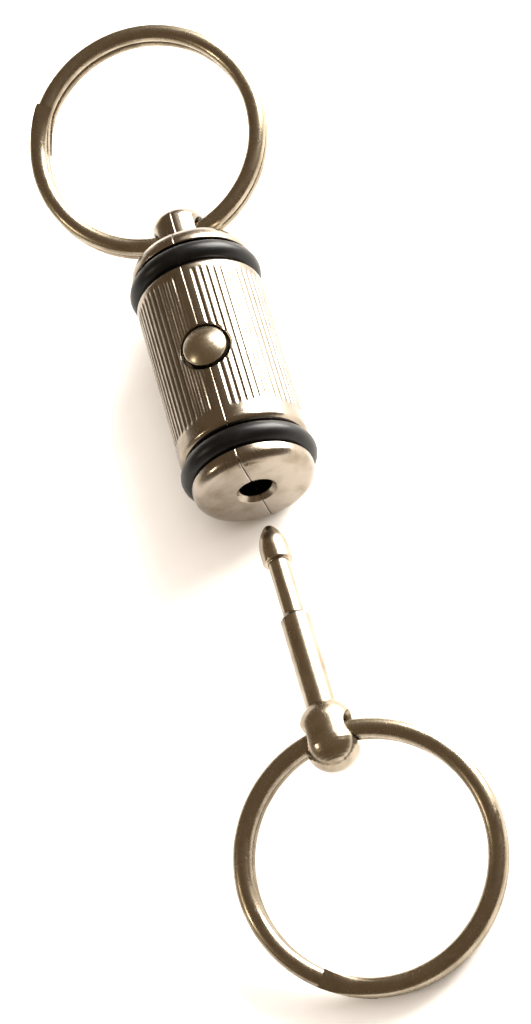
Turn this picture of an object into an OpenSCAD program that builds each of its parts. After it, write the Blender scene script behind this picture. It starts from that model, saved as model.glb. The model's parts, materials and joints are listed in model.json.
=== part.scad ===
// Quick-release key ring: a two-shell barrel with a push button and a key loop,
// and a latching stud with its own key loop, shown pulled apart.
//
// Assembly frame used by the modules: the barrel's axis is Y, the button's axis is Z,
// and they cross at the origin. The nub end points to +Y and the socket mouth to -Y.
// placed() then moves everything so that the object lies on the plane z = 0.

/* [Barrel] */
// Diameter of the fluted body
body_d = 12.5; // [12.5:0.1:13]
// Body length from the button's axis to the upper groove
body_above = 9.8; // [9.4:0.1:10]
// Body length from the button's axis to the lower groove
body_below = 9; // [8.7:0.1:9.5]
// Edge radius at the body's two ends
body_round = 0.6; // [0.3:0.1:0.7]
// Length of the rounded collar round the socket mouth
collar_len = 1.6; // [1.5:0.1:2]
// Diameter of that collar
collar_d = 11.7; // [11.5:0.1:12.3]
// Edge radius of that collar
collar_round = 1.1; // [0.8:0.1:1.2]
// Length of the domed shoulder under the nub
shoulder_len = 2.2; // [2.2:0.1:2.6]
// Diameter of that shoulder
shoulder_d = 12.1; // [11.6:0.1:12.2]
// Edge radius of that shoulder
shoulder_round = 2; // [1.6:0.1:2]
// Diameter of the nub that carries the upper split ring
nub_d = 5.2; // [5:0.1:5.6]
// Height of the nub's straight side above the shoulder
nub_straight = 3.7; // [3.6:0.1:4.4]
// Edge radius at the nub's flat top
nub_round = 1.2; // [1:0.1:1.6]
// Height of the nub's ring hole above the shoulder
nub_hole_height = 2.2; // [2.2:0.1:2.4]

/* [Flutes] */
// Number of flute places round the whole body
flute_count = 60; // [48:4:72]
// Radius of the cutter that makes one flute
flute_r = 0.28; // [0.24:0.02:0.3]
// Depth of one flute
flute_depth = 0.09; // [0.06:0.01:0.12]
// Flute places left plain on each side of the seam
flute_skip = 1; // [0:1:3]
// Plain band between the flutes and the upper groove
flute_gap_above = 0.8; // [0.5:0.1:1.2]
// Plain band between the flutes and the lower groove
flute_gap_below = 1.7; // [1:0.1:2]

/* [Seam] */
// Gap between the two half shells
seam_gap = 0.04; // [0.02:0.01:0.06]
// Width of the rebate that shows as the seam line
seam_line_w = 0.22; // [0.16:0.02:0.3]
// Depth of that rebate
seam_line_depth = 0.12; // [0.08:0.02:0.16]

/* [O-rings] */
// Section diameter of an O-ring
o_ring_section = 2.2; // [2:0.1:2.3]
// How far an O-ring stands proud of the body
o_ring_proud = 0.3; // [0.2:0.05:0.4]
// Width of an O-ring groove
groove_w = 2.5; // [2.4:0.1:2.6]

/* [Push button] */
// Diameter of the button's cap
button_d = 4.2; // [4:0.1:4.4]
// Diameter of the recess round the cap
recess_d = 5.1; // [4.9:0.1:5.3]
// Height of the dome's top above the barrel's axis
button_top = 7.0; // [6.8:0.1:7.1]
// Travel of the button when it is pressed
button_travel = 0.9; // [0.7:0.1:0.9]

/* [Stud] */
// Diameter of the stud's head and shaft
stud_d = 2.8; // [2.7:0.05:2.85]
// Diameter of the latching neck
neck_d = 2.0; // [1.9:0.05:2]
// Length of the stud's pointed nose
nose_len = 2.8; // [2.6:0.1:3.2]
// Length of the head's straight side
head_len = 1.1; // [0.9:0.1:1.3]
// Length of the latching neck
neck_len = 5.6; // [5.4:0.1:5.8]
// Length of the shaft between neck and knob
shaft_len = 8.7; // [8.6:0.1:9.5]
// Diameter of the knob that carries the lower split ring
knob_d = 5; // [4.9:0.1:5.4]
// Length of that knob
knob_len = 6.6; // [6.4:0.1:7]
// Radius of the knob's rounded ends
knob_round = 2.4; // [2:0.1:2.4]
// Diameter of the socket bore that the stud slides in
bore_d = 3.0; // [3:0.01:3.02]
// Free gap between the end face and the stud's tip when pulled apart
pulled_gap = 4; // [2:0.1:8]

/* [Split rings] */
// Outer diameter of a split ring
ring_od = 24; // [24:0.5:26]
// Wire thickness, across the ring's radius
wire_d = 1.7; // [1.5:0.05:1.7]
// Width of one turn, along the ring's axis
turn_w = 1.35; // [1.2:0.05:1.35]
// Diameter of the hole that a split ring passes through
ring_hole_d = 3.4; // [3.4:0.05:3.5]
// How far the upper ring is swung up from the barrel's axis
upper_swing = 16; // [0:1:30]
// How far the lower ring is swung down from the stud's axis
lower_swing = 13; // [0:1:13]

/* [Hidden] */

$fn = 96;
eps = 0.01;
big = 40;

plated = [0.72, 0.68, 0.62];
rubber_black = [0.06, 0.06, 0.06];
spring_steel = [0.5, 0.5, 0.52];

body_r = body_d / 2;
stud_r = stud_d / 2;
neck_r = neck_d / 2;
knob_r = knob_d / 2;
nub_r = nub_d / 2;

// Stations along the barrel's axis
upper_groove_end = body_above + groove_w;
lower_groove_end = -body_below - groove_w;
end_face = lower_groove_end - collar_len;
shoulder_top = upper_groove_end + shoulder_len;
nub_hole_y = shoulder_top + nub_hole_height;
nub_top = shoulder_top + nub_straight + nub_round;

// O-rings rest on their groove floors with a hair of clearance
floor_clear = 0.02;
o_ring_r = body_r + o_ring_proud - o_ring_section / 2;
groove_floor_r = o_ring_r - o_ring_section / 2 - floor_clear;
outer_r = body_r + o_ring_proud;

// Button and its fork, with the stud's path through the slot
ledge_top = 4.4;
ledge_bottom = 3.5;
press_clear = 0.2;
cap_bottom = ledge_top + button_travel + press_clear;
cap_edge_z = 6.2;
stem_d = 2.6;
stem_hole_d = 2.8;
fork_w = 4.8;
fork_depth = 3.0;
fork_clear = 0.1;
slot_clear = 0.15;
slot_r = stud_r + slot_clear;
slot_center_z = stud_r + fork_clear + button_travel - slot_r;
prong_tip_z = -1.25;

// Latch spring: a bent strip whose crown sits in the stud's neck
spring_t = 0.3;
spring_w = 3.4;
crown_clear = 0.08;
crown_top_z = -neck_r - crown_clear;
crown_half = 1.2;
foot_x = 3.2;
foot_end_x = 3.6;
foot_z = -3.5;
lean_share = 0.4;
pocket_clear = 0.1;

// Stud stations at rest, and the travel that brings the head behind the latch
tip_y = end_face - pulled_gap;
head_y = tip_y - nose_len;
head_rear_y = head_y - head_len;
neck_end_y = head_rear_y - neck_len;
step_len = 0.5;
shaft_y = neck_end_y - step_len;
knob_start_y = shaft_y - shaft_len;
knob_y = knob_start_y - knob_len / 2;
latched_gap = 0.1;
stud_travel = spring_w / 2 + latched_gap - head_rear_y;
bore_spare = 0.7;
bore_end = tip_y + stud_travel + bore_spare;
apex_r = 0.35;
nose_round = (nose_len * nose_len + pow(stud_r - apex_r, 2)) / (2 * (stud_r - apex_r));
countersink = 0.45;

// Split rings: mean radius, and the stretch where the wire crosses to its next turn
ring_mean_r = (ring_od - wire_d) / 2;
cross_angle = 26;
cross_lap = 1;
cross_slope = atan(turn_w / (ring_mean_r * cross_angle * PI / 180));
cross_place = 152;

// Locating pegs on the seam plane
peg_d = 1.5;
peg_len = 1.2;
peg_clear = 0.05;
peg_y = 6;
peg_z = 4.2;

// Place of the row frame's origin: under the middle of the whole object
ring_reach = ring_mean_r + ring_od / 2;
far_y = nub_hole_y + ring_reach * cos(upper_swing) + wire_d / 2 * sin(upper_swing);
near_y = knob_y - ring_reach * cos(lower_swing) - wire_d / 2 * sin(lower_swing);
mid_y = (far_y + near_y) / 2;

module placed() {
    translate([0, -mid_y, outer_r]) children();
}

// Turns a shape made along Z so that it lies along the barrel's axis
module along_y() {
    rotate([-90, 0, 0]) children();
}

// Quarter circle on the corner between radius r and the face at edge_y; it ends at its
// own centre, so that it never reaches the O-ring groove behind it
module rounded_edge(r, edge_y, round, inward) {
    side = round + eps;
    intersection() {
        translate([r - round, edge_y + inward * round]) circle(r = round);
        translate([r - side, inward > 0 ? edge_y : edge_y - side]) square(side);
    }
}

// Half outline of the barrel, in from its true surface by inset
module barrel_outline(inset) {
    r_body = body_r - inset;
    r_collar = collar_d / 2 - inset;
    r_shoulder = shoulder_d / 2 - inset;
    face = end_face + inset;
    top = shoulder_top - inset;
    intersection() {
        union() {
            translate([0, body_round - body_below])
                square([r_body, body_below + body_above - 2 * body_round]);
            translate([0, -body_below]) square([r_body - body_round, body_below + body_above]);
            rounded_edge(r_body, -body_below, body_round, 1);
            rounded_edge(r_body, body_above, body_round, -1);
            translate([0, lower_groove_end])
                square([groove_floor_r - inset, upper_groove_end - lower_groove_end]);
            translate([0, face + collar_round]) square([r_collar, lower_groove_end - face - collar_round]);
            translate([0, face]) square([r_collar - collar_round, lower_groove_end - face + eps]);
            rounded_edge(r_collar, face, collar_round, 1);
            translate([0, upper_groove_end]) square([r_shoulder, top - upper_groove_end - shoulder_round]);
            translate([0, upper_groove_end - eps])
                square([r_shoulder - shoulder_round, top - upper_groove_end + eps]);
            rounded_edge(r_shoulder, top, shoulder_round, -1);
            square([nub_r - inset, nub_top - inset - nub_round]);
            square([nub_r - inset - nub_round, nub_top - inset]);
            rounded_edge(nub_r - inset, nub_top - inset, nub_round, -1);
        }
        translate([0, -big]) square([big, 2 * big]);
    }
}

module barrel_solid(inset) {
    along_y() rotate_extrude() barrel_outline(inset);
}

module half_space(side, from_x) {
    translate([side * (from_x + big / 2), 0, 0]) cube([big, 2 * big, big], center = true);
}

module flutes(side) {
    length = body_above - flute_gap_above + body_below - flute_gap_below;
    for (i = [flute_skip : flute_count / 2 - 1 - flute_skip])
        rotate([0, side * (i + 0.5) * 360 / flute_count, 0])
            translate([0, flute_gap_below - body_below, body_r + flute_r - flute_depth])
                along_y() cylinder(r = flute_r, h = length, $fn = 24);
}

module socket() {
    translate([0, end_face - eps, 0]) along_y() {
        cylinder(d = bore_d, h = bore_end - end_face + eps);
        cylinder(r1 = bore_d / 2 + countersink + eps, r2 = bore_d / 2, h = countersink + eps);
    }
}

module button_cavity() {
    translate([0, 0, ledge_top]) cylinder(d = recess_d, h = big);
    translate([0, 0, ledge_bottom - eps]) cylinder(d = stem_hole_d, h = ledge_top);
    chamber_bottom = prong_tip_z - button_travel - fork_clear;
    chamber = [fork_w + 3 * fork_clear, fork_depth + 3 * fork_clear, ledge_bottom - chamber_bottom];
    translate([0, 0, (ledge_bottom + chamber_bottom) / 2]) cube(chamber, center = true);
}

module spring_pocket() {
    floor_z = foot_z - pocket_clear;
    roof_z = -bore_d / 4;
    translate([0, 0, (floor_z + roof_z) / 2])
        cube([2 * (foot_end_x + pocket_clear), spring_w + 2 * pocket_clear, roof_z - floor_z], center = true);
}

module nub_hole() {
    translate([0, nub_hole_y, 0]) rotate([0, 90, 0]) cylinder(d = ring_hole_d, h = big, center = true);
}

module pegs(d, from_x, to_x) {
    for (y = [-peg_y, peg_y], z = [-peg_z, peg_z])
        translate([from_x, y, z]) rotate([0, 90, 0]) cylinder(d = d, h = to_x - from_x);
}

module half_shell(side) {
    difference() {
        union() {
            intersection() {
                barrel_solid(0);
                half_space(side, seam_line_w / 2);
            }
            intersection() {
                barrel_solid(seam_line_depth);
                half_space(side, seam_gap / 2);
            }
        }
        flutes(side);
        socket();
        button_cavity();
        spring_pocket();
        nub_hole();
    }
}

module left_shell() {
    color(plated) {
        half_shell(-1);
        pegs(peg_d, -1, peg_len);
    }
}

module right_shell() {
    color(plated) difference() {
        half_shell(1);
        pegs(peg_d + 2 * peg_clear, -1, peg_len + 2 * peg_clear);
    }
}

module o_ring(y) {
    color(rubber_black) translate([0, y, 0])
        along_y() rotate_extrude() translate([o_ring_r, 0]) circle(d = o_ring_section, $fn = 48);
}

module upper_o_ring() {
    o_ring(body_above + groove_w / 2);
}

module lower_o_ring() {
    o_ring(-body_below - groove_w / 2);
}

// The cap's top is the cap of a sphere that meets the straight side at cap_edge_z
module button_cap() {
    rise = button_top - cap_edge_z;
    sphere_r = (pow(button_d / 2, 2) + rise * rise) / (2 * rise);
    intersection() {
        translate([0, 0, cap_bottom]) cylinder(d = button_d, h = button_top - cap_bottom);
        translate([0, 0, button_top - sphere_r]) sphere(r = sphere_r);
    }
}

module button_fork() {
    top = ledge_bottom - fork_clear;
    difference() {
        translate([0, 0, (top + prong_tip_z) / 2])
            cube([fork_w, fork_depth, top - prong_tip_z], center = true);
        translate([0, 0, slot_center_z]) rotate([90, 0, 0]) cylinder(r = slot_r, h = big, center = true);
        translate([-slot_r, -big / 2, slot_center_z - big]) cube([2 * slot_r, big, big]);
    }
}

module push_button() {
    color(plated) {
        button_cap();
        translate([0, 0, ledge_bottom - 2 * fork_clear])
            cylinder(d = stem_d, h = cap_bottom - ledge_bottom + 3 * fork_clear);
        button_fork();
    }
}

// Right half of the strip's outline: crown, sloping leg and flat foot
function leg_points(side) = let (lean = spring_t * lean_share)
    [for (p = [[crown_half + lean, crown_top_z], [foot_x + lean, foot_z + spring_t],
               [foot_end_x, foot_z + spring_t], [foot_end_x, foot_z],
               [foot_x - lean, foot_z], [crown_half - lean, crown_top_z - spring_t]])
        [side * p.x, p.y]];

function reversed(points) = [for (i = [len(points) - 1 : -1 : 0]) points[i]];

module latch_spring() {
    color(spring_steel) rotate([90, 0, 0]) linear_extrude(spring_w, center = true)
        polygon(concat(leg_points(1), reversed(leg_points(-1))));
}

module nose_outline() {
    intersection() {
        translate([stud_r - nose_round, head_y]) circle(r = nose_round, $fn = 192);
        translate([0, head_y]) square([stud_r, nose_len]);
    }
}

module knob_outline() {
    straight = knob_len / 2 - knob_round;
    intersection() {
        union() {
            translate([0, knob_y - straight]) square([knob_r, 2 * straight]);
            translate([0, knob_y - knob_len / 2]) square([knob_r - knob_round, knob_len]);
            for (end = [-1, 1])
                translate([knob_r - knob_round, knob_y + end * straight]) circle(r = knob_round);
        }
        translate([0, knob_y - knob_len]) square([knob_r, 2 * knob_len]);
    }
}

module stud() {
    color(plated) difference() {
        along_y() rotate_extrude() {
            nose_outline();
            translate([0, head_rear_y]) square([stud_r, head_len + eps]);
            translate([0, neck_end_y - eps]) square([neck_r, neck_len + 2 * eps]);
            polygon([[0, shaft_y], [stud_r, shaft_y], [neck_r, neck_end_y], [0, neck_end_y]]);
            translate([0, knob_y]) square([stud_r, shaft_y - knob_y + eps]);
            knob_outline();
        }
        translate([0, knob_y, 0]) rotate([0, 90, 0]) cylinder(d = ring_hole_d, h = big, center = true);
    }
}

// Section of one turn: round wire pressed flat where the turns lie against each other
module turn_section() {
    translate([ring_mean_r, 0]) intersection() {
        circle(d = wire_d, $fn = 48);
        square([wire_d, turn_w], center = true);
    }
}

module turn_arc(from_angle, sweep) {
    rotate([0, 0, from_angle]) rotate_extrude(angle = sweep) turn_section();
}

// Ring in its own XY plane: two flat turns, joined where the wire crosses over
module wire_ring() {
    arc = 360 - cross_angle;
    rotate([0, 0, cross_place]) {
        for (level = [-0.5, 0.5])
            translate([0, 0, level * turn_w]) turn_arc(cross_angle / 2, arc);
        rotate([-cross_slope, 0, 0]) turn_arc(-cross_angle / 2 - cross_lap, cross_angle + 2 * cross_lap);
    }
}

// Hangs a ring on the hole at station y, swung by angle towards +Z; dir is the way it points
module hung_ring(y, dir, angle) {
    translate([0, y, 0]) rotate([dir * angle, 0, 0]) translate([0, dir * ring_mean_r, 0]) children();
}

module upper_split_ring() {
    color(plated) hung_ring(nub_hole_y, 1, upper_swing) wire_ring();
}

module lower_split_ring() {
    color(plated) hung_ring(knob_y, -1, -lower_swing) rotate([0, 0, 90]) wire_ring();
}

placed() left_shell();
placed() right_shell();
placed() upper_o_ring();
placed() lower_o_ring();
placed() push_button();
placed() latch_spring();
placed() stud();
placed() upper_split_ring();
placed() lower_split_ring();
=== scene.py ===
"""Looks of the quick-release key ring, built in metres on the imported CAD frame."""

import json
import math

import bmesh
import bpy
from mathutils import Matrix, Vector


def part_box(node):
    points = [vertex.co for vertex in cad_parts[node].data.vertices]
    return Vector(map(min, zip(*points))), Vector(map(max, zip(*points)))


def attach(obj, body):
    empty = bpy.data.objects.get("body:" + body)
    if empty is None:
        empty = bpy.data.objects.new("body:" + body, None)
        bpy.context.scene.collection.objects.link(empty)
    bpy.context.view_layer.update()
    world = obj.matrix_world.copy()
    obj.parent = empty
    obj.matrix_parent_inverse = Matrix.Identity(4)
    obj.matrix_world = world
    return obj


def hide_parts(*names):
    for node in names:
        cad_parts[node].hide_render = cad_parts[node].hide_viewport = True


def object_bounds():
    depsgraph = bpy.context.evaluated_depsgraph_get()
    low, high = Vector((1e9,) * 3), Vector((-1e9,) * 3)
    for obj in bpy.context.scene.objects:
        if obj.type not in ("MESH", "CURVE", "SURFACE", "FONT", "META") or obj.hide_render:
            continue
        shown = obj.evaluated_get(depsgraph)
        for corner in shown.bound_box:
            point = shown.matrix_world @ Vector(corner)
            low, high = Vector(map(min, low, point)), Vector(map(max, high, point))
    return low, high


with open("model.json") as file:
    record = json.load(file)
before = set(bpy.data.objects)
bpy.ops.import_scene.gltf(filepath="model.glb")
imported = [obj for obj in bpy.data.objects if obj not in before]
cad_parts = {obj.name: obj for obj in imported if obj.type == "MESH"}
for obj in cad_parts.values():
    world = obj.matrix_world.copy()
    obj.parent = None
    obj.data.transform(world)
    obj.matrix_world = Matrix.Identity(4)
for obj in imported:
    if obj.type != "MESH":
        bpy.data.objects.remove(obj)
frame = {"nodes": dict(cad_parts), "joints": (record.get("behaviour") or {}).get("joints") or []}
cad_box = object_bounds()

MM = 0.001

# Points closer than MERGE are joined, lengths under TINY don't count, and edges past SHARP stay sharp.
MERGE = 0.0005 * MM
TINY = 0.001 * MM
SHARP = math.radians(38)

# ---------------------------------------------------------------- places, from the frame

shell_low, shell_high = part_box("left_shell")
upper_low, upper_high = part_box("upper_o_ring")
lower_low, lower_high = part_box("lower_o_ring")
button_low, button_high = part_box("push_button")
stud_low, stud_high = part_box("stud")

AXIS_Z = (shell_low.z + shell_high.z) / 2
BUTTON_Y = (button_low.y + button_high.y) / 2
BODY_R = -shell_low.x
FACE_Y = shell_low.y
NUB_TOP_Y = shell_high.y
O_RING_SECTION_R = (upper_high.y - upper_low.y) / 2
UPPER_O_RING_Y = (upper_high.y + upper_low.y) / 2
LOWER_O_RING_Y = (lower_high.y + lower_low.y) / 2
KNOB_R = stud_high.z - AXIS_Z
STUD_END_Y = stud_low.y
STUD_TIP_Y = stud_high.y
HINGE_Y = {joint["child"]: joint["pos_m"][1] for joint in frame["joints"] if joint["type"] == "hinge"}

# ---------------------------------------------------------------- sizes of the design

EDGE = 0.12 * MM

# O-rings and their grooves
O_RING_MEAN_R = upper_high.z - AXIS_Z - O_RING_SECTION_R
O_RING_GAP = 0.02 * MM
O_RING_FLASH = 0.012 * MM
GROOVE_HALF = 1.25 * MM
GROOVE_FLOOR_R = O_RING_MEAN_R - O_RING_SECTION_R - O_RING_GAP

# outside of the barrel
BODY_ROUND = 0.6 * MM
COLLAR_R = 5.85 * MM
COLLAR_ROUND = 1.1 * MM
SHOULDER_R = 6.05 * MM
SHOULDER_ROUND = 2.0 * MM
SHOULDER_LENGTH = 2.2 * MM
NUB_R = 2.6 * MM
NUB_ROUND = 1.2 * MM
NUB_FILLET = 0.18 * MM

# seam, and the shares of its width at which the columns of points beside it lie
SEAM_HALF_GAP = 0.02 * MM
SEAM_WIDTH = 0.15 * MM
SEAM_DEPTH = 0.08 * MM
SEAM_SHARES = (0.0, 0.1, 0.25, 0.45, 0.7, 1.0)

# flutes: places right round the body, and how many stay plain each side of a seam
FLUTE_PLACES = 60
FLUTE_SKIP = 1
FLUTE_R = 0.28 * MM
FLUTE_DEPTH = 0.09 * MM
FLUTE_TAPER = 0.7 * MM
FLUTE_START_Y = BUTTON_Y - 7.3 * MM
FLUTE_END_Y = BUTTON_Y + 9.0 * MM
COLUMNS_PER_FLUTE = 12

# socket, and rooms for the button's fork and the latch spring
BORE_R = 1.5 * MM
BORE_END_Y = BUTTON_Y + 6.4 * MM
COUNTERSINK = 0.45 * MM
CHAMBER_HALF_WIDTH = 2.55 * MM
CHAMBER_HALF_LENGTH = 1.65 * MM
CHAMBER_BOTTOM_Z = AXIS_Z - 2.25 * MM
POCKET_HALF_WIDTH = 3.7 * MM
POCKET_HALF_LENGTH = 1.8 * MM
POCKET_BOTTOM_Z = AXIS_Z - 3.6 * MM
POCKET_TOP_Z = AXIS_Z - 0.75 * MM

# holes with rounded mouths
CUTTER_TOP = 3 * MM
RECESS_R = 2.4 * MM
RECESS_FLARE = 0.28 * MM
RING_HOLE_R = 1.7 * MM
RING_HOLE_FLARE = 0.14 * MM
RING_HOLE_OVERLAP = 0.1 * MM

# button, and the ledge that its stem goes through
LEDGE_Z = AXIS_Z + 4.4 * MM
LEDGE_BOTTOM_Z = AXIS_Z + 3.5 * MM
STEM_HOLE_R = 1.4 * MM
STEM_HOLE_LENGTH = 2 * MM
STEM_HOLE_Z = LEDGE_Z - 0.5 * MM
BUTTON_R = 2.1 * MM
BUTTON_EDGE_Z = AXIS_Z + 6.2 * MM
BUTTON_UNDER_Z = AXIS_Z + 5.5 * MM
STEM_R = 1.3 * MM
STEM_END_Z = LEDGE_BOTTOM_Z - 0.2 * MM
FORK_HALF_WIDTH = 2.4 * MM
FORK_HALF_LENGTH = 1.5 * MM
FORK_TOP_Z = LEDGE_BOTTOM_Z - 0.1 * MM
FORK_SLOT_R = 1.55 * MM
FORK_SLOT_Z = AXIS_Z + 0.85 * MM

# stud
STUD_R = 1.4 * MM
STUD_EDGE = 0.07 * MM
NECK_R = 1.0 * MM
NOSE_LENGTH = 2.8 * MM
NOSE_TIP_R = 0.35 * MM
HEAD_LENGTH = 1.1 * MM
NECK_LENGTH = 5.6 * MM
STEP_LENGTH = 0.5 * MM
KNOB_LENGTH = 6.6 * MM
KNOB_ROUND = 2.4 * MM

# split rings: the wire fills just under half its width each way, so that the turns don't touch
RING_OUTER_R = 12.0 * MM
WIRE_R = 0.85 * MM
TURN_WIDTH = 1.35 * MM
TURN_FILL = 0.49
RING_MEAN_R = RING_OUTER_R - WIRE_R
CROSSING = math.radians(26)
CROSSING_AT = math.radians(152)
CROSSING_STEPS = 20
TURN_STEPS = 130
WEDGE_START = 1
UPPER_SWING = math.radians(16)
LOWER_SWING = math.radians(13)


# ---------------------------------------------------------------- outlines and meshes

def rounded(corners, step=math.radians(9)):
    """Outline through corners (y, r, radius), each turned into an arc of its radius."""
    points = []
    for i, (y, r, radius) in enumerate(corners):
        here = Vector((y, r))
        if radius == 0:
            points.append(here)
            continue
        back = (Vector(corners[i - 1][:2]) - here).normalized()
        ahead = (Vector(corners[i + 1][:2]) - here).normalized()
        half = back.angle(ahead) / 2
        reach = radius / math.tan(half)
        centre = here + (back + ahead).normalized() * (radius / math.sin(half))
        start = here + back * reach - centre
        end = here + ahead * reach - centre
        turn = math.copysign(math.pi - 2 * half, start.cross(end))
        count = max(2, round(abs(turn) / step))
        for k in range(count + 1):
            angle = turn * k / count
            points.append(centre + Matrix.Rotation(angle, 2) @ start)
    return points


def held(points, hold=0.05 * MM):
    """The same outline with a point close to both ends of every long stretch, so that flats shade flat.

    Points that lie on the one before them are left out.
    """
    result = [points[0]]
    for before, after in zip(points, points[1:]):
        along = after - before
        if along.length > 5 * hold:
            result.append(before + along.normalized() * hold)
            result.append(after - along.normalized() * hold)
        if along.length > TINY:
            result.append(after)
    return result


def finish_mesh(bm, name, sharp=SHARP):
    """A smooth-shaded object from bm, with its tight edges kept sharp."""
    bmesh.ops.remove_doubles(bm, verts=bm.verts, dist=MERGE)
    bmesh.ops.dissolve_degenerate(bm, dist=0.0002 * MM, edges=bm.edges)
    bmesh.ops.recalc_face_normals(bm, faces=bm.faces)
    mesh = bpy.data.meshes.new(name)
    bm.to_mesh(mesh)
    bm.free()
    mesh.shade_smooth()
    mesh.set_sharp_from_angle(angle=sharp)
    piece = bpy.data.objects.new(name, mesh)
    bpy.context.scene.collection.objects.link(piece)
    return piece


def skin(bm, rings, closed):
    """Faces between neighbouring rings of vertices. A closed ring joins its last vertex to its first."""
    for low, high in zip(rings, rings[1:]):
        count = len(low)
        for j in range(count if closed else count - 1):
            k = (j + 1) % count
            bm.faces.new((low[j], low[k], high[k], high[j]))


def on_axis(y, r, angle):
    """Point at radius r round the barrel's axis, with angle 0 at the top and positive towards +X."""
    return Vector((r * math.sin(angle), y, AXIS_Z + r * math.cos(angle)))


def revolved(bm, outline, segments=160):
    """Turns an outline (y, r) right round the barrel's axis."""
    rings = []
    for y, r in outline:
        angles = (math.tau * j / segments for j in range(segments))
        rings.append([bm.verts.new(on_axis(y, r, angle)) for angle in angles])
    skin(bm, rings, closed=True)


def block(bm, half_width, half_length, bottom_z, top_z):
    """Box cutter under the button."""
    low = Vector((-half_width, BUTTON_Y - half_length, bottom_z))
    high = Vector((half_width, BUTTON_Y + half_length, top_z))
    middle = (low + high) / 2
    size = high - low
    matrix = Matrix.Translation(middle) @ Matrix.Diagonal((*size, 1))
    bmesh.ops.create_cube(bm, size=1, matrix=matrix)


def flared_cutter(bm, frame_matrix, radius, bottom, flare, surface, segments=96):
    """Round cutter along local Z whose mouth rounds the edge where it meets surface(x, y)."""
    steps = []
    for k in range(6):
        turn = math.radians(15 * k)
        steps.append((radius + flare * (1 - math.cos(turn)), flare * (math.sin(turn) - 1)))
    mouth_r = radius + 1.4 * flare
    steps.append((mouth_r, 0.5 * flare))
    steps.append((mouth_r, CUTTER_TOP))
    angles = [math.tau * j / segments for j in range(segments)]
    circle = [(math.cos(angle), math.sin(angle)) for angle in angles]
    rings = [[bm.verts.new(frame_matrix @ Vector((radius * c, radius * s, bottom))) for c, s in circle]]
    for r, offset in steps:
        points = (Vector((r * c, r * s, surface(r * c, r * s) + offset)) for c, s in circle)
        rings.append([bm.verts.new(frame_matrix @ point) for point in points])
    skin(bm, rings, closed=True)
    bm.faces.new(list(reversed(rings[0])))
    bm.faces.new(rings[-1])


def cut(piece, make_cutter):
    """Takes the solid that make_cutter(bm) builds away from piece, for good."""
    bm = bmesh.new()
    make_cutter(bm)
    cutter = finish_mesh(bm, "cutter")
    modifier = piece.modifiers.new("cut", "BOOLEAN")
    modifier.operation = "DIFFERENCE"
    modifier.solver = "EXACT"
    modifier.object = cutter
    bpy.context.view_layer.update()
    graph = bpy.context.evaluated_depsgraph_get()
    result = bpy.data.meshes.new_from_object(piece.evaluated_get(graph))
    piece.modifiers.clear()
    old = piece.data
    piece.data = result
    result.name = piece.name
    bpy.data.meshes.remove(old)
    bpy.data.objects.remove(cutter)
    result.shade_smooth()
    result.set_sharp_from_angle(angle=SHARP)


def place(piece, body, node, material):
    """Gives a finished piece its material and its place in the frame."""
    piece.data.materials.clear()
    piece.data.materials.append(material)
    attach(piece, body)
    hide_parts(node)


# ---------------------------------------------------------------- barrel

def smooth_step(value):
    """Eases a value from 0 to 1, and holds it there past both ends."""
    t = min(1.0, max(0.0, value))
    return t * t * (3 - 2 * t)


def flute_stations():
    """Extra stations on the body where the flutes run out at their two ends."""
    steps = [k / 6 for k in range(7)]
    start = [(FLUTE_START_Y + FLUTE_TAPER * s, BODY_R, 0) for s in steps]
    end = [(FLUTE_END_Y - FLUTE_TAPER * (1 - s), BODY_R, 0) for s in steps]
    return start + end


def barrel_outline():
    """Half outline (y, r) of the barrel, from the socket's inner end round to the top of the nub."""
    lower, upper = LOWER_O_RING_Y, UPPER_O_RING_Y
    shoulder_top = upper + GROOVE_HALF + SHOULDER_LENGTH
    corners = [
        (BORE_END_Y, 0, 0),
        (BORE_END_Y, BORE_R, 0),
        (FACE_Y + COUNTERSINK, BORE_R, EDGE),
        (FACE_Y, BORE_R + COUNTERSINK, EDGE),
        (FACE_Y, COLLAR_R, COLLAR_ROUND),
        (lower - GROOVE_HALF, COLLAR_R, EDGE),
        (lower - GROOVE_HALF, GROOVE_FLOOR_R, 0),
        (lower + GROOVE_HALF, GROOVE_FLOOR_R, 0),
        (lower + GROOVE_HALF, BODY_R, BODY_ROUND),
        *flute_stations(),
        (upper - GROOVE_HALF, BODY_R, BODY_ROUND),
        (upper - GROOVE_HALF, GROOVE_FLOOR_R, 0),
        (upper + GROOVE_HALF, GROOVE_FLOOR_R, 0),
        (upper + GROOVE_HALF, SHOULDER_R, EDGE),
        (shoulder_top, SHOULDER_R, SHOULDER_ROUND),
        (shoulder_top, NUB_R, NUB_FILLET),
        (NUB_TOP_Y, NUB_R, NUB_ROUND),
        (NUB_TOP_Y, 0, 0),
    ]
    return held(rounded(corners))


def flute_depth(y, angle):
    """How deep the flutes cut the body at a place."""
    along = min(y - FLUTE_START_Y, FLUTE_END_Y - y) / FLUTE_TAPER
    if along <= 0:
        return 0.0
    pitch = math.tau / FLUTE_PLACES
    place_number = math.floor(angle / pitch)
    if not FLUTE_SKIP <= place_number < FLUTE_PLACES / 2 - FLUTE_SKIP:
        return 0.0
    aside = BODY_R * (angle / pitch - place_number - 0.5) * pitch
    half_width = math.sqrt(FLUTE_R ** 2 - (FLUTE_R - FLUTE_DEPTH) ** 2)
    if abs(aside) >= half_width:
        return 0.0
    return (math.sqrt(FLUTE_R ** 2 - aside ** 2) - FLUTE_R + FLUTE_DEPTH) * smooth_step(along)


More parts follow.
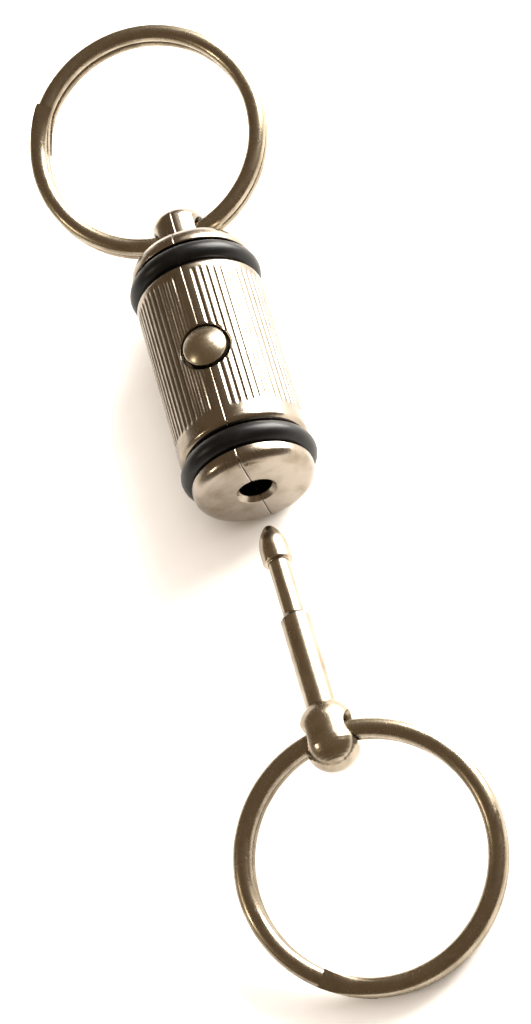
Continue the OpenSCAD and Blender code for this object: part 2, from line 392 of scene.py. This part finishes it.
def shell_angles(r):
    """Angles of a half shell's columns at radius r, closer together beside the seam."""
    first = math.pi / FLUTE_PLACES
    count = FLUTE_PLACES * COLUMNS_PER_FLUTE // 2 - COLUMNS_PER_FLUTE
    wide = [first + (math.pi - 2 * first) * k / count for k in range(count + 1)]
    near = []
    for k, share in enumerate(SEAM_SHARES):
        aside = SEAM_HALF_GAP + share * SEAM_WIDTH
        limit = math.sin(first) * (k + 1) / (len(SEAM_SHARES) + 1)
        near.append(math.asin(min(aside / max(r, 10 * TINY), limit)))
    return near + wide + [math.pi - angle for angle in reversed(near)]


def seam_depth(aside):
    """How far the edge beside the seam is rounded away, at a distance from the seam's plane."""
    share = 1 - min(1.0, max(0.0, (aside - SEAM_HALF_GAP) / SEAM_WIDTH))
    return SEAM_DEPTH * (1 - math.sqrt(1 - share * share))


def outline_normals(outline):
    """Unit normals of the outline that point out of the metal."""
    normals = []
    for i in range(len(outline)):
        along = outline[min(i + 1, len(outline) - 1)] - outline[max(i - 1, 0)]
        normals.append(Vector((-along.y, along.x)).normalized())
    return normals


def half_shell(side):
    """One half of the barrel, with its seam face; side is -1 for the left half and 1 for the right."""
    bm = bmesh.new()
    cavity = bm.verts.layers.float.new("cavity")
    outline = barrel_outline()
    rings = []
    for (y, r), normal in zip(outline, outline_normals(outline)):
        angles = shell_angles(r)
        on_body = abs(r - BODY_R) < TINY
        ring = []
        for j, angle in enumerate(angles):
            flute = flute_depth(y, angle) if on_body else 0.0
            seam = seam_depth(r * math.sin(angle))
            point = on_axis(y - normal.x * seam, r - normal.y * seam - flute, angle)
            point.x = SEAM_HALF_GAP if j in (0, len(angles) - 1) else max(point.x, SEAM_HALF_GAP)
            point.x *= side
            vertex = bm.verts.new(point)
            # Share of flute and seam depth; the material paints these hollows darker, partly as dirt and
            # partly as painted shade in the grooves.
            vertex[cavity] = min(1.0, flute / FLUTE_DEPTH + seam / SEAM_DEPTH)
            ring.append(vertex)
        rings.append(ring)
    skin(bm, rings, closed=False)
    bmesh.ops.remove_doubles(bm, verts=bm.verts, dist=MERGE)
    rim = [edge for edge in bm.edges if edge.is_boundary]
    bmesh.ops.holes_fill(bm, edges=rim, sides=0)
    return finish_mesh(bm, "left_half" if side < 0 else "right_half")


def body_surface(x, y):
    """Height of the barrel's body above its axis, the same at every y."""
    return math.sqrt(BODY_R ** 2 - x * x)


def cut_recess(bm):
    """The round recess that the button stands in, with a rounded mouth on the curved body."""
    matrix = Matrix.Translation((0, BUTTON_Y, AXIS_Z))
    flared_cutter(bm, matrix, RECESS_R, LEDGE_Z - AXIS_Z, RECESS_FLARE, body_surface)


def cut_ring_hole(body, side, surface):
    """Maker of the cutter for one end of the hole that a split ring goes through, along X to one side."""
    def make(bm):
        place_on_axis = Matrix.Translation((0, HINGE_Y[body], AXIS_Z))
        matrix = place_on_axis @ Matrix.Rotation(side * math.pi / 2, 4, "Y")
        flared_cutter(bm, matrix, RING_HOLE_R, -RING_HOLE_OVERLAP, RING_HOLE_FLARE, surface)
    return make


def nub_surface(x, y):
    """Height of the nub's side above the barrel's axis, the same at every y."""
    return math.sqrt(NUB_R ** 2 - x * x)


def cut_stem_hole(bm):
    """The hole for the button's stem, through the ledge."""
    bmesh.ops.create_cone(
        bm, cap_ends=True, segments=64, radius1=STEM_HOLE_R, radius2=STEM_HOLE_R, depth=STEM_HOLE_LENGTH,
        matrix=Matrix.Translation((0, BUTTON_Y, STEM_HOLE_Z)))


def cut_chamber(bm):
    """Room for the button's fork."""
    block(bm, CHAMBER_HALF_WIDTH, CHAMBER_HALF_LENGTH, CHAMBER_BOTTOM_Z, LEDGE_BOTTOM_Z)


def cut_pocket(bm):
    """Room for the latch spring."""
    block(bm, POCKET_HALF_WIDTH, POCKET_HALF_LENGTH, POCKET_BOTTOM_Z, POCKET_TOP_Z)


def make_shells(material):
    """Both halves of the barrel, each with its share of the recess, the holes and the rooms inside."""
    for side, node in ((-1, "left_shell"), (1, "right_shell")):
        shell = half_shell(side)
        cut_nub_hole = cut_ring_hole("upper_ring", side, nub_surface)
        for make_cutter in (cut_recess, cut_nub_hole, cut_stem_hole, cut_chamber, cut_pocket):
            cut(shell, make_cutter)
        place(shell, "barrel", node, material)


def make_o_ring(name, y, node, material):
    """Moulded ring with the faint parting line of its mould round the outside."""
    bm = bmesh.new()
    count = 40
    outline = []
    for k in range(count + 1):
        angle = math.tau * k / count
        flash = O_RING_FLASH if k in (0, count) else 0.0
        r = O_RING_SECTION_R + flash
        outline.append((y + r * math.sin(angle), O_RING_MEAN_R + r * math.cos(angle)))
    revolved(bm, outline, segments=180)
    place(finish_mesh(bm, name, sharp=math.pi), "barrel", node, material)


# ---------------------------------------------------------------- button

def button_cap_outline():
    """Half outline (height, r) of the domed cap and its stem."""
    rise = button_high.z - BUTTON_EDGE_Z
    ball_r = (BUTTON_R ** 2 + rise ** 2) / (2 * rise)
    low_angle = math.asin((BUTTON_R - EDGE) / ball_r)
    dome = []
    for k in range(13):
        angle = low_angle * k / 12
        dome.append(Vector((button_high.z - ball_r * (1 - math.cos(angle)), ball_r * math.sin(angle))))
    edge = [
        Vector((BUTTON_EDGE_Z + 0.2 * EDGE, BUTTON_R - 0.3 * EDGE)),
        Vector((BUTTON_EDGE_Z - EDGE, BUTTON_R)),
    ]
    under = [
        Vector((BUTTON_UNDER_Z, BUTTON_R)),
        Vector((BUTTON_UNDER_Z, STEM_R)),
        Vector((STEM_END_Z, STEM_R)),
        Vector((STEM_END_Z, 0)),
    ]
    return held(dome + edge + under)


def upright(bm, outline, segments=96):
    """Turns an outline (height, r) round the button's own axis."""
    rings = []
    for height, r in outline:
        angles = (math.tau * j / segments for j in range(segments))
        rings.append([bm.verts.new((r * math.cos(a), BUTTON_Y + r * math.sin(a), height)) for a in angles])
    skin(bm, rings, closed=True)


def fork_outline():
    """Front outline (x, z) of the fork whose two prongs straddle the stud."""
    bottom = button_low.z
    arc = []
    for k in range(17):
        angle = math.pi * k / 16
        arc.append((FORK_SLOT_R * math.cos(angle), FORK_SLOT_Z + FORK_SLOT_R * math.sin(angle)))
    return [
        (-FORK_HALF_WIDTH, bottom),
        (-FORK_HALF_WIDTH, FORK_TOP_Z),
        (FORK_HALF_WIDTH, FORK_TOP_Z),
        (FORK_HALF_WIDTH, bottom),
        (FORK_SLOT_R, bottom),
        *arc,
        (-FORK_SLOT_R, bottom),
    ]


def fork(bm):
    """The fork, as a solid between its front and back outlines."""
    front = [bm.verts.new((x, BUTTON_Y - FORK_HALF_LENGTH, z)) for x, z in fork_outline()]
    back = [bm.verts.new((x, BUTTON_Y + FORK_HALF_LENGTH, z)) for x, z in fork_outline()]
    skin(bm, [front, back], closed=True)
    bm.faces.new(front)
    bm.faces.new(list(reversed(back)))


def make_button(material):
    """The cap with its stem, and the fork under it."""
    bm = bmesh.new()
    upright(bm, button_cap_outline())
    fork(bm)
    place(finish_mesh(bm, "button"), "button", "push_button", material)


# ---------------------------------------------------------------- stud

def nose_points():
    """Ogive of the nose, from its small flat tip to the head's full width."""
    drop = STUD_R - NOSE_TIP_R
    ball_r = (NOSE_LENGTH ** 2 + drop ** 2) / (2 * drop)
    points = []
    for k in range(17):
        back = NOSE_LENGTH * k / 16
        along = NOSE_LENGTH - back
        points.append(Vector((STUD_TIP_Y - back, STUD_R - ball_r + math.sqrt(ball_r ** 2 - along ** 2))))
    return points


def knob_points():
    """The knob's rounded shoulder, from where it leaves the shaft to its full width."""
    first = math.asin((STUD_R - KNOB_R + KNOB_ROUND) / KNOB_ROUND)
    middle = Vector((STUD_END_Y + KNOB_LENGTH - KNOB_ROUND, KNOB_R - KNOB_ROUND))
    angles = (first + (math.pi / 2 - first) * k / 12 for k in range(13))
    return [middle + KNOB_ROUND * Vector((math.cos(a), math.sin(a))) for a in angles]


def stud_outline():
    """Half outline (y, r) of the whole turned stud, tip first."""
    head_end = STUD_TIP_Y - NOSE_LENGTH - HEAD_LENGTH
    neck_end = head_end - NECK_LENGTH
    shaft_start = neck_end - STEP_LENGTH
    nose = nose_points()
    broken_edge = Vector((-0.06 * MM, 0.01 * MM))
    tip = [
        Vector((STUD_TIP_Y, 0)),
        Vector((STUD_TIP_Y, 0.6 * NOSE_TIP_R)),
        nose[0] + broken_edge,
    ]
    corners = [
        (nose[-1].x, STUD_R, 0),
        (head_end, STUD_R, 2 * STUD_EDGE),
        (head_end, NECK_R, STUD_EDGE),
        (neck_end, NECK_R, STUD_EDGE),
        (shaft_start, STUD_R, STUD_EDGE),
        *((y, r, 0) for y, r in knob_points()),
        (STUD_END_Y, KNOB_R, KNOB_ROUND),
        (STUD_END_Y, 0, 0),
    ]
    return held(tip + nose[1:] + rounded(corners)[1:])


def knob_radius(from_middle):
    """Radius of the knob at a distance along the stud from the knob's middle."""
    past = max(0.0, abs(from_middle) - (KNOB_LENGTH / 2 - KNOB_ROUND))
    return KNOB_R - KNOB_ROUND + math.sqrt(KNOB_ROUND ** 2 - past ** 2)


def knob_surface(x, y):
    """Height of the knob's side above the stud's axis, at y from the knob's middle."""
    return math.sqrt(knob_radius(y) ** 2 - x * x)


def make_stud(material):
    """The turned stud, with its ring hole cut in from both sides."""
    bm = bmesh.new()
    revolved(bm, stud_outline(), segments=128)
    stud = finish_mesh(bm, "stud_turned")
    for side in (-1, 1):
        cut(stud, cut_ring_hole("lower_ring", side, knob_surface))
    place(stud, "stud", "stud", material)


# ---------------------------------------------------------------- split rings

def wire_section(count=32, power=2.1):
    """Section of the pressed wire: metres outward, and a share of its thickness along the ring's axis."""
    points = []
    for k in range(count):
        c = math.cos(math.tau * k / count)
        s = math.sin(math.tau * k / count)
        out = math.copysign(abs(c) ** (2 / power), c) * WIRE_R
        up = math.copysign(abs(s) ** (2 / power), s) * TURN_FILL
        points.append((out, up))
    return points


def flat_turn(start, height):
    """The path of the wire where it lies flat, from one crossing round to the next."""
    arc = math.tau - CROSSING
    return [(start + arc * k / TURN_STEPS, height, TURN_WIDTH) for k in range(1, TURN_STEPS + 1)]


def wire_path(cross_at):
    """(angle, height of the middle, thickness) of the wire along its two turns.

    Where the wire crosses from the upper turn to the lower one, each cut end is ground to a wedge
    that lies on the crossing. WEDGE_START steps are left off the thin end of each wedge.
    """
    half = TURN_WIDTH / 2
    start = cross_at - CROSSING / 2
    path = []
    for k in range(WEDGE_START, CROSSING_STEPS + 1):
        thick = half * (1 - math.cos(math.pi * k / CROSSING_STEPS))
        path.append((start + CROSSING * k / CROSSING_STEPS, TURN_WIDTH - thick / 2, thick))
    path += flat_turn(start + CROSSING, half)
    start += math.tau
    for k in range(1, CROSSING_STEPS + 1):
        height = half * math.cos(math.pi * k / CROSSING_STEPS)
        path.append((start + CROSSING * k / CROSSING_STEPS, height, TURN_WIDTH))
    path += flat_turn(start + CROSSING, -half)
    start += math.tau
    for k in range(1, CROSSING_STEPS + 1 - WEDGE_START):
        thick = half * (1 + math.cos(math.pi * k / CROSSING_STEPS))
        path.append((start + CROSSING * k / CROSSING_STEPS, thick / 2 - TURN_WIDTH, thick))
    return path


def split_ring(name, hinge_y, direction, swing, cross_at):
    """Double turn of wire through the hole at hinge_y, pointing along direction and swung up by swing."""
    matrix = (Matrix.Translation((0, hinge_y, AXIS_Z)) @ Matrix.Rotation(direction * swing, 4, "X")
              @ Matrix.Translation((0, direction * RING_MEAN_R, 0)))
    bm = bmesh.new()
    section = wire_section()
    rings = []
    for angle, height, thick in wire_path(cross_at):
        outward = Vector((math.cos(angle), math.sin(angle), 0))
        points = (outward * (RING_MEAN_R + out) + Vector((0, 0, height + up * thick)) for out, up in section)
        rings.append([bm.verts.new(matrix @ point) for point in points])
    skin(bm, rings, closed=True)
    bm.faces.new(list(reversed(rings[0])))
    bm.faces.new(rings[-1])
    return finish_mesh(bm, name, sharp=math.radians(60))


def make_split_rings(material):
    """Both split rings, at the angles they hang at in the photo."""
    upper = split_ring("upper_wire_ring", HINGE_Y["upper_ring"], 1, UPPER_SWING, CROSSING_AT)
    place(upper, "upper_ring", "upper_split_ring", material)
    quarter = math.pi / 2
    lower = split_ring("lower_wire_ring", HINGE_Y["lower_ring"], -1, -LOWER_SWING, CROSSING_AT + quarter)
    place(lower, "lower_ring", "lower_split_ring", material)


# ---------------------------------------------------------------- material nodes

def new_material(name):
    """A material with its node tree, its shader and its object coordinates."""
    material = bpy.data.materials.new(name)
    material.use_nodes = True
    tree = material.node_tree
    shader = tree.nodes["Principled BSDF"]
    coordinates = tree.nodes.new("ShaderNodeTexCoord").outputs["Object"]
    return material, tree, shader, coordinates


def noise(tree, coordinates, size, stretch=(1, 1, 1), turn=(0, 0, 0), detail=3.0):
    """Noise with features about size metres across, stretched along an axis by a small factor there."""
    mapping = tree.nodes.new("ShaderNodeMapping")
    mapping.inputs["Rotation"].default_value = turn
    mapping.inputs["Scale"].default_value = [s / size for s in stretch]
    texture = tree.nodes.new("ShaderNodeTexNoise")
    texture.inputs["Scale"].default_value = 1.0
    texture.inputs["Detail"].default_value = detail
    tree.links.new(coordinates, mapping.inputs["Vector"])
    tree.links.new(mapping.outputs["Vector"], texture.inputs["Vector"])
    return texture.outputs["Fac"]


def remap(tree, value, from_low, from_high, to_low, to_high):
    """Maps one range of a value to another, clamped."""
    node = tree.nodes.new("ShaderNodeMapRange")
    tree.links.new(value, node.inputs["Value"])
    numbers = {"From Min": from_low, "From Max": from_high, "To Min": to_low, "To Max": to_high}
    for name, number in numbers.items():
        node.inputs[name].default_value = number
    return node.outputs["Result"]


def math_node(tree, operation, first, second):
    """Joins two values, either of which may be a plain number."""
    node = tree.nodes.new("ShaderNodeMath")
    node.operation = operation
    for socket, value in zip(node.inputs, (first, second)):
        if isinstance(value, (int, float)):
            socket.default_value = value
        else:
            tree.links.new(value, socket)
    return node.outputs["Value"]


def mix_colour(tree, factor, first, second):
    """Mixes two colours, either of which may be a socket."""
    node = tree.nodes.new("ShaderNodeMix")
    node.data_type = "RGBA"
    tree.links.new(factor, node.inputs["Factor"])
    for socket, value in ((node.inputs[6], first), (node.inputs[7], second)):
        if isinstance(value, tuple):
            socket.default_value = (*value, 1)
        else:
            tree.links.new(value, socket)
    return node.outputs[2]


def bump(tree, height, distance, normal=None):
    """Bump of a real height in metres, on top of another bump if one is given."""
    node = tree.nodes.new("ShaderNodeBump")
    node.inputs["Strength"].default_value = 1.0
    node.inputs["Distance"].default_value = distance
    tree.links.new(height, node.inputs["Height"])
    if normal is not None:
        tree.links.new(normal, node.inputs["Normal"])
    return node.outputs["Normal"]


def scratches(tree, coordinates, turn):
    """Mask of fine hairline scratches that run one way."""
    lines = noise(tree, coordinates, 0.12 * MM, stretch=(1, 0.035, 1), turn=turn, detail=1.0)
    patches = noise(tree, coordinates, 2.5 * MM, turn=turn)
    fine = remap(tree, lines, 0.66, 0.74, 0.0, 1.0)
    return math_node(tree, "MULTIPLY", fine, remap(tree, patches, 0.45, 0.65, 0.0, 1.0))


# ---------------------------------------------------------------- materials

def plated(name, clean, tarnish, roughness, cavity=False):
    """Polished nickel plate with warm tarnish, hairline scratches and handling wear."""
    material, tree, shader, coordinates = new_material(name)
    clouds = noise(tree, coordinates, 2.2 * MM, detail=5.0)
    stain = remap(tree, clouds, 0.42, 0.72, 0.0, 1.0)
    colour = mix_colour(tree, stain, clean, tarnish)
    marks = math_node(tree, "MAXIMUM", scratches(tree, coordinates, (0.3, 0.2, 0.9)),
                      scratches(tree, coordinates, (0.1, 0.4, -0.5)))
    grain = noise(tree, coordinates, 0.25 * MM, detail=4.0)
    rough = math_node(tree, "ADD", remap(tree, clouds, 0.3, 0.7, roughness * 0.75, roughness * 1.35),
                      math_node(tree, "MULTIPLY", marks, 0.16))
    rough = math_node(tree, "ADD", rough, remap(tree, grain, 0.3, 0.7, -0.02, 0.03))
    # Flute and seam hollows are painted darker, towards 0.3 of the tarnish colour: partly dirt, partly
    # painted shade where the grooves fall into shadow.
    if cavity:
        groove_dirt_and_shade = tree.nodes.new("ShaderNodeAttribute")
        groove_dirt_and_shade.attribute_name = "cavity"
        depth = remap(tree, groove_dirt_and_shade.outputs["Fac"], 0.35, 1.0, 0.0, 0.75)
        colour = mix_colour(tree, depth, colour, tuple(0.3 * c for c in tarnish))
        rough = math_node(tree, "ADD", rough, math_node(tree, "MULTIPLY", depth, 0.22))
    tree.links.new(colour, shader.inputs["Base Color"])
    tree.links.new(rough, shader.inputs["Roughness"])
    shader.inputs["Metallic"].default_value = 1.0
    waves = bump(tree, noise(tree, coordinates, 1.6 * MM, detail=2.0), 0.006 * MM)
    surface = bump(tree, grain, 0.0012 * MM, waves)
    unmarked = math_node(tree, "SUBTRACT", 1.0, marks)
    tree.links.new(bump(tree, unmarked, 0.0015 * MM, surface), shader.inputs["Normal"])
    return material


def black_rubber():
    """Moulded rubber: near black, faintly dusty, with a fine matt grain."""
    material, tree, shader, coordinates = new_material("black_rubber")
    dust = remap(tree, noise(tree, coordinates, 1.2 * MM, detail=6.0), 0.5, 0.8, 0.0, 1.0)
    colour = mix_colour(tree, dust, (0.0015, 0.0015, 0.0015), (0.005, 0.0045, 0.004))
    tree.links.new(colour, shader.inputs["Base Color"])
    grain = noise(tree, coordinates, 0.09 * MM, detail=3.0)
    tree.links.new(remap(tree, grain, 0.3, 0.7, 0.28, 0.44), shader.inputs["Roughness"])
    shader.inputs["Specular IOR Level"].default_value = 0.2
    swell = bump(tree, noise(tree, coordinates, 1.5 * MM, detail=2.0), 0.02 * MM)
    tree.links.new(bump(tree, grain, 0.004 * MM, swell), shader.inputs["Normal"])
    return material


def spring_steel():
    """Rolled spring strip with a grain along its length."""
    material, tree, shader, coordinates = new_material("spring_steel")
    grain = noise(tree, coordinates, 0.15 * MM, stretch=(0.05, 1, 1), detail=4.0)
    colour = mix_colour(tree, grain, (0.36, 0.35, 0.34), (0.52, 0.51, 0.49))
    tree.links.new(colour, shader.inputs["Base Color"])
    tree.links.new(remap(tree, grain, 0.3, 0.7, 0.28, 0.42), shader.inputs["Roughness"])
    shader.inputs["Metallic"].default_value = 1.0
    tree.links.new(bump(tree, grain, 0.003 * MM), shader.inputs["Normal"])
    return material


def pale_floor():
    """Matt paper with a faint mottle."""
    material, tree, shader, coordinates = new_material("pale_floor")
    paper = noise(tree, coordinates, 3 * MM, detail=6.0)
    colour = mix_colour(tree, paper, (0.74, 0.72, 0.69), (0.80, 0.78, 0.76))
    tree.links.new(colour, shader.inputs["Base Color"])
    shader.inputs["Roughness"].default_value = 0.85
    shader.inputs["Specular IOR Level"].default_value = 0.2
    tree.links.new(bump(tree, paper, 0.01 * MM), shader.inputs["Normal"])
    return material


# ---------------------------------------------------------------- studio

def make_floor():
    """A wide round floor just under the lowest point of the part."""
    bm = bmesh.new()
    bmesh.ops.create_circle(bm, cap_ends=True, segments=96, radius=3.0)
    floor = finish_mesh(bm, "floor")
    floor.location.z = cad_box[0].z - 0.01 * MM
    floor.data.materials.append(pale_floor())


def make_softbox(name, direction, distance, size, power, colour, reflected=True):
    """Rectangular softbox that faces the object from a direction. A fill isn't reflected in the metal."""
    data = bpy.data.lights.new(name, "AREA")
    data.shape = "RECTANGLE"
    data.size, data.size_y = size
    data.energy = power
    data.color = colour
    light = bpy.data.objects.new(name, data)
    toward = Vector(direction).normalized()
    light.location = toward * distance
    light.rotation_mode = "QUATERNION"
    light.rotation_quaternion = toward.to_track_quat("Z", "Y")
    light.visible_camera = False
    light.visible_glossy = reflected
    bpy.context.scene.collection.objects.link(light)


def make_world():
    """Warm dim room that is lighter near the horizon."""
    world = bpy.data.worlds.new("room")
    world.use_nodes = True
    bpy.context.scene.world = world
    tree = world.node_tree
    coordinates = tree.nodes.new("ShaderNodeTexCoord").outputs["Generated"]
    split = tree.nodes.new("ShaderNodeSeparateXYZ")
    tree.links.new(coordinates, split.inputs["Vector"])
    height = remap(tree, split.outputs["Z"], 0.03, 0.24, 0.0, 1.0)
    colour = mix_colour(tree, height, (0.62, 0.58, 0.52), (0.30, 0.215, 0.135))
    tree.links.new(colour, tree.nodes["Background"].inputs["Color"])


def make_camera():
    """Camera at the fitted angle, rolled as it was held, aimed between the end face and the stud's tip."""
    azimuth, elevation, roll = (math.radians(a) for a in (13.10, 59.07, -31.82))
    distance = 236.0
    aim = Vector((0.20 * MM, BUTTON_Y - 15.52 * MM, AXIS_Z))
    back = Vector((math.sin(azimuth) * math.cos(elevation),
                   -math.cos(azimuth) * math.cos(elevation), math.sin(elevation)))
    level_right = Vector((0, 0, 1)).cross(back).normalized()
    level_up = back.cross(level_right)
    right = level_right * math.cos(roll) + level_up * math.sin(roll)
    data = bpy.data.cameras.new("camera")
    data.sensor_width = 36
    data.lens = 90.03
    data.clip_start = 0.01
    camera = bpy.data.objects.new("camera", data)
    turned = Matrix((right, back.cross(right), back)).transposed().to_4x4()
    camera.matrix_world = Matrix.Translation(aim + back * distance * MM) @ turned
    bpy.context.scene.collection.objects.link(camera)
    bpy.context.scene.camera = camera


# ---------------------------------------------------------------- everything

make_camera()
make_world()
make_floor()
make_softbox("window", (0.74, 0.52, 0.43), 0.40, (0.28, 0.32), 10.0, (1.0, 0.97, 0.92))
make_softbox("overhead_fill", (0.1, 0.1, 1.0), 0.60, (0.9, 0.9), 6.0, (1.0, 0.98, 0.96), reflected=False)
make_softbox("window_glow", (0.66, 0.58, 0.48), 0.42, (0.50, 0.44), 0.8, (1.0, 0.97, 0.92))
make_softbox("small_lamp", (-0.78, -0.10, 0.52), 0.45, (0.03, 0.05), 0.35, (1.0, 0.88, 0.70))
bpy.context.scene.view_settings.view_transform = "Standard"

make_shells(plated("shell_nickel", (0.27, 0.235, 0.195), (0.17, 0.14, 0.10), 0.20, cavity=True))
rubber = black_rubber()
make_o_ring("upper_rubber_ring", UPPER_O_RING_Y, "upper_o_ring", rubber)
make_o_ring("lower_rubber_ring", LOWER_O_RING_Y, "lower_o_ring", rubber)
make_button(plated("button_nickel", (0.34, 0.295, 0.225), (0.23, 0.19, 0.13), 0.26))
make_stud(plated("stud_nickel", (0.36, 0.315, 0.25), (0.23, 0.185, 0.125), 0.20))
make_split_rings(plated("wire_nickel", (0.28, 0.24, 0.18), (0.17, 0.135, 0.09), 0.26))
for spring_slot in frame["nodes"]["latch_spring"].material_slots:
    spring_slot.material = spring_steel()
